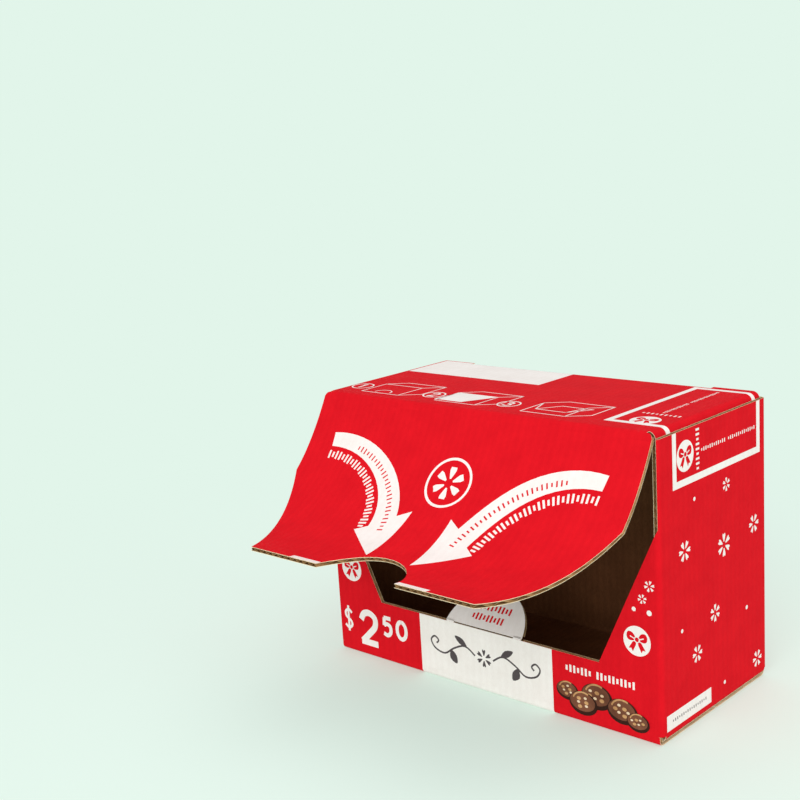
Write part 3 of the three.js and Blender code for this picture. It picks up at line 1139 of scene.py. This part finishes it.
@dataclass
class FrontFlap(SubAssembly):
    """The torn front panel, hanging from the front fold and curled outward."""

    skin_front: float = 4.0
    root_gap: float = 0.3
    tear: Waves = ((0.05, 0.9, 0.6), (0.03, 2.3, 0.0))
    corner_cuts: tuple[float, ...] = (1.0, 0.7, 0.45, 0.25, 0.1)

    def __post_init__(self) -> None:
        """Works out the curl's path from the hinge."""
        s = self.sizes
        self.arc = corner(s.fold_r, 90 - s.hinge_arc - s.curl[0])
        share = (s.flap_length - self.arc[0]) / (len(s.curl) - 1)
        self.curl_steps = tuple((share, before - after) for before, after in zip(s.curl, s.curl[1:]))
        path = FoldPath(s.hinge, 180 + s.hinge_arc, (self.arc, *self.curl_steps))
        self.bend = Bend(path, Plane.SIDE, True)
        self.rows = stations(self.arc[0] + self.skin_front, s.flap_length + 0.5, 4)

    def tip(self, across: float, _depth: float) -> float:
        """Gives the flap's torn edge: its straight end, the notch and the slanted sides.

        Args:
            across: Distance from the middle.
            _depth: Not used.

        Returns:
            The edge's distance from the hinge.
        """
        s = self.sizes
        x = abs(across)
        radius = s.tab_r + s.flap_tear
        end = s.flap_length
        if x > s.lip_half - s.flap_tear:
            end = s.height - s.lip_z - (x - s.lip_half + s.flap_tear) / s.tear_slope
        if x < radius:
            end = min(end, s.height - s.tab_centre_z - math.sqrt(radius * radius - x * x))
        return end + (ragged(across, self.tear) if x < s.inside_x - 1 else 0.0)

    def build(self) -> None:
        """Builds the flap's board."""
        s = self.sizes
        radius, kink = s.tab_r + s.flap_tear, s.lip_half - s.flap_tear
        extra = [radius * math.cos(math.radians(a)) for a in range(2, 180, 4)] + [-kink, kink]
        extra += [side * (s.inside_x - s.roll_r * t) for side in (-1, 1) for t in self.corner_cuts]

        def root(across: float, depth: float) -> float:
            """Where the sheet starts: the fold's own liner covers the first stretch of print."""
            return self.rows[0] if depth < s.liner / 2 else self.root_gap + s.roll_drop(across)

        rows = stations(self.root_gap, self.arc[0], 0.6) + self.rows
        printed = BoardPanel(
            self.palette, "flap", "front_flap", self.bend, s,
            stations(-s.inside_x, s.inside_x, 1.6, extra), rows, self.tip, root).build()
        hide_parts("front_flap")


@dataclass
class FoldSkin(SubAssembly):
    """The printed liner that runs unbroken over the front fold onto the flap."""

    top: TopPanel
    flap: FrontFlap
    roll_cuts: tuple[float, ...] = (0, 0.01, 1.6, 2.8, 3.6, 4.3, 4.9, 5.25)
    blend_reach: float = 1.6

    def build(self) -> None:
        """Builds the liner across the hinge."""
        s = self.sizes
        back = self.top.skin_back
        whole_arc = corner(s.fold_r, 90 - s.curl[0])
        steps = ((back, 0), whole_arc, *self.flap.curl_steps)
        bend = Bend(FoldPath((self.top.front_y + back, s.height), 180, steps), Plane.SIDE, True)
        hinge_run = back + corner(s.fold_r, s.hinge_arc)[0]
        length = back + whole_arc[0] + self.flap.skin_front

        def start(across: float, _depth: float) -> float:
            """Outside the flat top the liner starts at the hinge and follows the rolled side down."""
            return hinge_run + s.roll_drop(across) if s.roll_drop(across) else 0.0

        across = stations(-s.inside_x, s.inside_x, 20, [
            side * (s.top_half + x) for side in (-1, 1) for x in self.roll_cuts])
        rows = stations(0, back, 2) + stations(back + 0.3, back + whole_arc[0], 0.35) + [length]
        skin = BoardPanel(self.palette, "front_fold", "", bend, s, across, rows, steady(length), start,
                          plies=(Ply.PRINTED,)).build()
        begin, end = (
            tuple(bend.place(0, hinge_run + side * self.blend_reach, 0)) for side in (-1, 1))
        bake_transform(skin)


@dataclass
class FingerTab(SubAssembly):
    """The half-round tab on the lip, pushed back on its crease."""

    slit_half: float = 29.5
    nick_r: float = 1.5
    bridge_above: float = 1.4
    bridge_below: float = 1.2
    bridge_inset: float = 0.6

    def build(self) -> None:
        """Builds the tab's board, its print and its bridges. Its face runs from the tip to the crease."""
        s = self.sizes
        radius, tilt = s.tab_r, math.radians(s.tab_tilt)
        axis_y, axis_z = s.tab_axis
        reach = s.tab_centre_z + radius - axis_z
        face_y, cos, sin = -s.tab_axis_depth, math.cos(tilt), math.sin(tilt)
        start = (axis_y + face_y * cos + reach * sin, axis_z - face_y * sin + reach * cos)
        bend = Bend(FoldPath(start, 270 - s.tab_tilt, ((reach, 0),)), Plane.SIDE, True)

        def crown(across: float, _depth: float) -> float:
            """The round edge."""
            return radius - math.sqrt(max(0.0, radius * radius - across * across))

        def base(_across: float, depth: float) -> float:
            """The crushed crease leans away from the lip behind the fold."""
            lean = math.tan(math.radians(s.tab_bevel)) * max(0.0, depth + s.liner - s.tab_axis_depth)
            return reach - s.gap / 2 - lean

        half = math.sqrt(radius ** 2 - (radius - reach + s.gap) ** 2)
        across = sorted({round(half * math.cos(math.radians(a)), 4) for a in range(0, 181, 4)})
        printed = BoardPanel(self.palette, "tab", "finger_tab", bend, s, across, stations(0, reach, 4), base,
                             crown, printed=Finish.WHITE, slot="white_board").build()
        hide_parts("finger_tab")
        ink = InkSheet(self.palette, "print_tab", "finger_tab", bend, slot="white_board")
        for row, count in ((17.0, 11), (26.2, 9)):
            ink.marks([((i - (count - 1) / 2) * 3.5, row) for i in range(count)], 5.8, 1.8, Finish.RED)
        ink.build()
        self._bridges()

    def _bridges(self) -> None:
        """Builds the stretches of liner left uncut at both ends of the crease."""
        s = self.sizes
        tilt = math.radians(s.tab_tilt)
        over, below = self.bridge_above, self.bridge_below
        meet_z = s.tab_axis[1] + s.tab_axis_depth * math.tan(tilt / 2)
        rise = self.nick_r * math.tan(tilt / 2) + over
        start = (-s.half_d + math.sin(tilt) * rise, meet_z + math.cos(tilt) * rise)
        steps = ((over, 0), corner(self.nick_r, s.tab_tilt), (below, 0))
        bend = Bend(FoldPath(start, 270 - s.tab_tilt, steps), Plane.SIDE, True)
        length = over + steps[1][0] + below
        for side, name in ((-1, "tab_bridge_left"), (1, "tab_bridge_right")):
            low, high = sorted((side * self.slit_half, side * (s.tab_r - self.bridge_inset)))
            piece = BoardPanel(
                self.palette, name, "", bend, s, stations(low, high, 2), stations(0, length, 0.25),
                steady(length), printed=Finish.WHITE, slot="white_board", plies=(Ply.PRINTED,)).build()
            begin, end = (tuple(bend.place((low + high) / 2, run, 0)) for run in (length - below, over))
            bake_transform(piece)


# Print on each panel


@dataclass
class BoxPrint(SubAssembly):
    """The print: arrows, snowflakes, bows, number fields and frames on all the panels."""

    walls: WallLoop
    bottom: BottomFlaps
    top: TopPanel
    flap: FrontFlap
    panel_half: float = 65.8
    panel_top: float = 57.4

    def build(self) -> None:
        """Lays the print on every panel."""
        for lay in (self._front, self._sides, self._label, self._back, self._top, self._flap):
            lay()

    def _front(self) -> None:
        """Lays the print of the lip and the wings."""
        s = self.sizes
        ink = InkSheet(self.palette, "print_lip", "carton", self.walls.bend, self.walls.front)
        ink.box((-self.panel_half, s.side_start), (self.panel_half, s.lip_z - 0.08))
        ink.flourish((0, 28.5), 56, Finish.GREY_INK, 1)
        ink.numeral("$", (-153, 19), (-143.5, 40), 2.3)
        ink.numeral("2", (-134, 12.5), (-115, 39), 5.6)
        ink.numeral("5", (-107.5, 24), (-98.5, 39), 3.5)
        ink.numeral("0", (-92, 24), (-82, 39), 3.5)
        for side in (-1, 1):
            ink.bow((side * 140.5, 75.5), 11.2)
            for x, z, radius in ((151.5, 118, 4.2), (145.5, 107.6, 3.6), (138.5, 99, 2.2), (151, 98.4, 2.7)):
                ink.snowflake((side * x, z), radius, turn=15)
        heap = ((79, 22.5, 10, 20), (105, 24, 13.5, 75), (93, 16, 12.5, 5), (127, 18.5, 13, 48),
                (140, 13.5, 9.5, 110))
        for i, (x, z, radius, turn) in enumerate(heap):
            ink.biscuit((x, z), radius, turn, 4 * i)
        ink.marks([(79 + 3.4 * i, 40.8) for i in range(18) if i != 7], 5.8, 1.8)
        ink.build(stations(self.walls.front(-140, 0)[0], self.walls.front(140, 0)[0], 35))
        fold = InkSheet(self.palette, "print_lip_fold", "carton", self.bottom.major(False))
        fold.box((-self.panel_half, 0), (self.panel_half, 9.0))
        fold.build(cut_along=stations(0, 9.8, ARC_STEP))

    def _label(self) -> None:
        """Lays the label frame that runs from the right wall over the roll onto the top."""
        front, back, width, foot, inner = -57.0, 66.0, 5.0, 182.6, 106.0
        high = self.sizes.wall_top - 0.2
        ink = InkSheet(self.palette, "print_label_side", "carton", self.walls.bend, self.walls.right)
        ink.box((front, foot), (front + width, high))
        ink.box((back - width, foot), (back, high))
        ink.box((front + width, foot), (back - width, foot + width))
        ink.bow((-40.3, 203.7), 11.2)
        ink.marks([(-23.7, 191 + 3.5 * i) for i in range(9)], 4.6, 1.6)
        ink.marks([(-18 + 2.9 * i, 203.3) for i in range(27) if i != 12], 2.8, 1.3)
        ink.build()
        top = self.top
        outer = top.middle - top.drop + 3
        over = InkSheet(self.palette, "print_label_top", "carton", top.bend, top.top)
        over.box((inner, front - 1.5), (inner + width, back))
        over.box((inner + width, front - 1.5), (outer, front + width - 1.5))
        over.box((inner + width, back - width), (outer, back - 0.3))
        over.bow((132.3, -45.8), 11.2, 1)
        over.marks([(118.5 + 3.65 * i, -26) for i in range(9)], 3.8, 1.5)
        over.marks([(131.5, -20 + 2.9 * i) for i in range(27) if i != 12], 2.8, 1.3)
        over.build(stations(top.drop - 3, top.drop + top.roll + 1, 0.7))

    def _sides(self) -> None:
        """Lays the snowflakes and the small strip on both side walls."""
        right = ((-29, 170, 2.0), (15.7, 169.6, 5.2), (-43, 135.5, 7.6), (11.5, 124.8, 8.8), (56.3, 129, 7.2),
                 (-2.4, 76.8, 6.8), (-48.3, 78, 2.0), (44.5, 66, 2.2), (-28, 54, 6.6), (10.4, 18, 2.0),
                 (60.5, 19.2, 6.8))
        left = ((-23, 169, 2.0), (20.2, 169.3, 5.2), (-36.7, 134.6, 7.6), (16.3, 125, 8.8),
                (60.3, 129.6, 7.2), (2.4, 75.8, 6.8), (-44.1, 76.5, 2.0), (48.4, 65.9, 2.2),
                (-24.6, 52.4, 6.6), (14, 16.6, 2.0), (63.2, 17.4, 6.8))
        for name, flakes, place in (("right", right, self.walls.right), ("left", left, self.walls.left)):
            ink = InkSheet(self.palette, f"print_side_{name}", "carton", self.walls.bend, place)
            for i, (y, z, radius) in enumerate(flakes):
                ink.snowflake((y, z), radius, turn=30 * (i % 2))
            ink.box((-70.5, 9.6), (-9.5, 21.4))
            ink.marks([(-62 + 2.8 * i, 15.5) for i in range(17)], 2.2, 1.0, Finish.GREY_INK, 1)
            ink.build()

    def _back(self) -> None:
        """Lays a few snowflakes on the back wall."""
        ink = InkSheet(self.palette, "print_back", "carton", self.walls.bend, self.walls.back)
        for i in range(14):
            place = (-130 + 20 * i + 6 * math.sin(2.3 * i), 115 + 80 * math.sin(2.39996 * i))
            ink.snowflake(place, (7.5, 2.2, 6.0)[i % 3], turn=30 * (i % 2))
        ink.build()

    def _top(self) -> None:
        """Lays the white field and the three numbered drawings on the top."""
        s, rear = self.sizes, self.top.rear_y
        left, right, over = -150.0, -9.0, 4.0
        ink = InkSheet(self.palette, "print_top", "carton", self.top.bend, self.top.top)
        ink.box((left, 20), (right, rear - 0.1))
        ink.box((left, rear - 0.1), (-s.tuck_half - s.ear_slit, rear + over))
        for number, x, gap in (("1", -141, 13), ("2", -62, 13), ("3", 13, 22)):
            ink.ring((x, -47), 9.0, 1.3, 28)
            ink.numeral(number, (x - 3.4, -52.5), (x + 3.4, -41.5), 1.9)
            self._drawing(ink, (x + gap, -62), number)
        ink.build()
        fold = InkSheet(self.palette, "print_top_fold", "carton", self.top.tuck_bend)
        fold.box((-s.tuck_half, 0.05), (right, over))
        fold.build(cut_along=stations(0, over + 0.5, ARC_STEP))

    @staticmethod
    def _drawing(ink: InkSheet, corner_at: Point, number: str) -> None:
        """Adds a small line drawing of a plain box, shut, opening or open.

        Args:
            ink: The sheet that it is drawn on.
            corner_at: The drawing's lower left corner.
            number: Which of the three it is.
        """
        wide, tall, deep, line = 40.0, 30.0, 16.0, 1.0

        def p(u: float, v: float, w: float = 0.0) -> Point:
            """Gives a point of the drawn box, from its width, height and depth."""
            return (corner_at[0] + wide * u + deep * w, corner_at[1] + tall * v + 0.7 * deep * w)

        ink.band([p(0, 0), p(1, 0), p(1, 0, 1), p(1, 1, 1), p(0, 1, 1), p(0, 1), p(0, 0)], line)
        ink.band([p(1, 0), p(1, 1), p(1, 1, 1)], line)
        if number == "3":
            ink.band([p(0, 1), p(0.16, 0.35), p(0.84, 0.35), p(1, 1)], line)
            ink.band([p(0.16, 0.35), p(0.16, 0.6, 0.8), p(0.84, 0.6, 0.8), p(0.84, 0.35)], line)
        else:
            ink.band([p(0, 1), p(1, 1)], line)
        if number == "1":
            ink.band([p(0.3, 0.1)] + arc_points(p(0.5, 0.1), 0.2 * wide, 180, 0, 10), line)
        if number == "2":
            ink.patch([p(0.02, 0.98), p(0.98, 0.98), p(0.8, 0.3, -0.5), p(0.12, 0.3, -0.5)], Finish.WHITE)

    def _flap(self) -> None:
        """Lays the two arrows, the ring and the rows of marks on the flap."""
        s = self.sizes
        ink = InkSheet(
            self.palette, "print_flap", "front_flap", self.flap.bend, lambda x, z: (x, s.height - z))
        centre = (-118.0, 101.0)

        def inside(offset: float, count: int) -> list[Point]:
            """Gives points along the arrow's inner edge, which widens towards its tail."""
            shares = [i / count for i in range(count + 1)]
            return [arc_points(centre, 72.4 - offset + 9.3 * t, 14 + 84.5 * t, 0, 1)[0] for t in shares]

        head = [(-18.9, 139.7), (-21.0, 86.4), (-57.3, 112.0)]
        arrow = [*arc_points(centre, 93.5, 98.5, 20, 16), *head, *inside(0, 16)]
        for side in (1, -1):
            ink.patch([(side * x, z) for x, z in arrow], Finish.WHITE)
            red_row = arc_points(centre, 84.5, 78, 11, 25)
            ink.marks([(side * x, z) for x, z in red_row], 4.8, 1.3, Finish.RED, 1)
            ink.marks([(side * x, z) for x, z in inside(7.2, 28)], 7.0, 1.8)
            low, high = sorted((-side * (s.tab_r + 0.4), -side * self.panel_half))
            ink.box((low, s.lip_z + s.flap_tear + 0.06), (high, self.panel_top))
        ink.ring((0, 168), 19.8, 2.1, 40)
        ink.snowflake((0, 168), 13.5, turn=30)
        ink.build(cut_along=self.flap.rows)


# Stage


@dataclass
class Studio:
    """Floor, lights and camera."""

    camera_at: tuple[float, float, float] = (0.6214, -0.8110, 0.4402)
    look_azimuth: float = 43.35
    look_down: float = 11.89
    roll: float = -3.596
    lens: float = 59.27
    floor_z: float = -0.0001
    floor_colour: Colour = srgb(236, 252, 243)
    air_colour: Colour = srgb(226, 245, 234)
    air_light: float = 0.66
    # Distances in metres from the box over which the floor's painted glow grows to full; it is already about
    # a quarter at the box.
    fade: Point = (-0.3, 0.8)
    lamps: tuple[tuple[str, tuple[float, float, float], float, float], ...] = (
        ("key_lamp", (0.9, -2.3, 1.2), 1.8, 37.0),
        ("side_lamp", (2.6, 0.2, 1.0), 1.8, 13.0),
        ("top_lamp", (0.2, 0.4, 2.4), 2.0, 8.0),
    )

    def build(self) -> None:
        """Builds the whole stage."""
        self._floor()
        self._world()
        self._lamps()
        self._camera()

    def _floor(self) -> None:
        """Builds the plain floor, which glows partly with the pale air colour as painted light and fades into
        the pale air around it.
        """
        bm = bmesh.new()
        bmesh.ops.create_circle(bm, cap_ends=True, radius=9.0, segments=64)
        mesh = bpy.data.meshes.new("floor")
        bm.to_mesh(mesh)
        bm.free()
        floor = bpy.data.objects.new("floor", mesh)
        floor.location.z = self.floor_z
        bpy.context.scene.collection.objects.link(floor)
        material = bpy.data.materials.new("floor_paint")
        material.use_nodes = True
        mesh.materials.append(material)
        n = Nodes(material.node_tree)
        paint = n.tree.nodes["Principled BSDF"]
        looks = {"Base Color": self.floor_colour, "Roughness": 0.9, "Specular IOR Level": 0.1}
        for label, value in looks.items():
            paint.inputs[label].default_value = value
        # Painted light: the floor glows with the air colour, about a quarter next to the box, which lightens
        # the box's shadow on it, and fully further out.
        glow = n.add("ShaderNodeEmission", Color=self.air_colour, Strength=1.0)
        reach = n.add("ShaderNodeVectorMath", operation="LENGTH")
        n.feed(reach.inputs[0], n.add("ShaderNodeTexCoord").outputs["Object"])
        glow_share = n.ramp(reach.outputs["Value"], *self.fade)
        mixed = n.join("ShaderNodeMixShader", glow_share, paint.outputs[0], glow.outputs[0])
        n.feed(n.tree.nodes["Material Output"].inputs["Surface"], mixed)

    def _world(self) -> None:
        """Lights the scene softly, and shows a pale colour to the camera, in gloss and through glass."""
        world = bpy.data.worlds.new("pale_air")
        bpy.context.scene.world = world
        world.use_nodes = True
        n = Nodes(world.node_tree)
        light = n.tree.nodes["Background"]
        light.inputs["Color"].default_value = (1, 1, 1, 1)
        light.inputs["Strength"].default_value = self.air_light
        seen = n.add("ShaderNodeBackground", Color=self.air_colour, Strength=1.0)
        path = n.add("ShaderNodeLightPath").outputs
        mirrored = n.math("MAXIMUM", path["Is Glossy Ray"], path["Is Transmission Ray"])
        shown = n.math("MAXIMUM", path["Is Camera Ray"], mirrored)
        mixed = n.join("ShaderNodeMixShader", shown, light.outputs[0], seen.outputs[0])
        n.feed(n.tree.nodes["World Output"].inputs["Surface"], mixed)

    def _lamps(self) -> None:
        """Adds soft square lamps that point at the box."""
        for name, place, size, watts in self.lamps:
            data = bpy.data.lights.new(name, "AREA")
            data.shape, data.size, data.energy = "SQUARE", size, watts
            lamp = bpy.data.objects.new(name, data)
            lamp.location = place
            lamp.rotation_euler = (Vector((0, 0, 0.1)) - Vector(place)).to_track_quat("-Z", "Y").to_euler()
            bpy.context.scene.collection.objects.link(lamp)

    def _camera(self) -> None:
        """Sets the camera at the photograph's angle."""
        data = bpy.data.cameras.new("camera")
        data.lens, data.sensor_width = self.lens, 36.0
        camera = bpy.data.objects.new("camera", data)
        turn = (
            Matrix.Rotation(math.radians(self.look_azimuth), 4, "Z")
            @ Matrix.Rotation(math.radians(90 - self.look_down), 4, "X")
            @ Matrix.Rotation(math.radians(self.roll), 4, "Z")
        )
        camera.matrix_world = Matrix.Translation(self.camera_at) @ turn
        bpy.context.scene.collection.objects.link(camera)
        bpy.context.scene.camera = camera


def main() -> None:
    """Builds the box and its stage."""
    logging.basicConfig(level=logging.INFO, format="%(message)s")
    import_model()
    bpy.context.scene.view_settings.view_transform = "Standard"
    sizes, palette = BoxSizes.from_frame(), Palette()
    walls, bottom, top, flap = (kind(sizes, palette) for kind in (WallLoop, BottomFlaps, TopPanel, FrontFlap))
    skin, tab = FoldSkin(sizes, palette, top, flap), FingerTab(sizes, palette)
    prints = BoxPrint(sizes, palette, walls, bottom, top, flap)
    for assembly in (walls, bottom, top, flap, skin, tab, prints, Studio()):
        assembly.build()
        LOG.info("%s built", type(assembly).__name__)


if __name__ == "__main__":
    main()
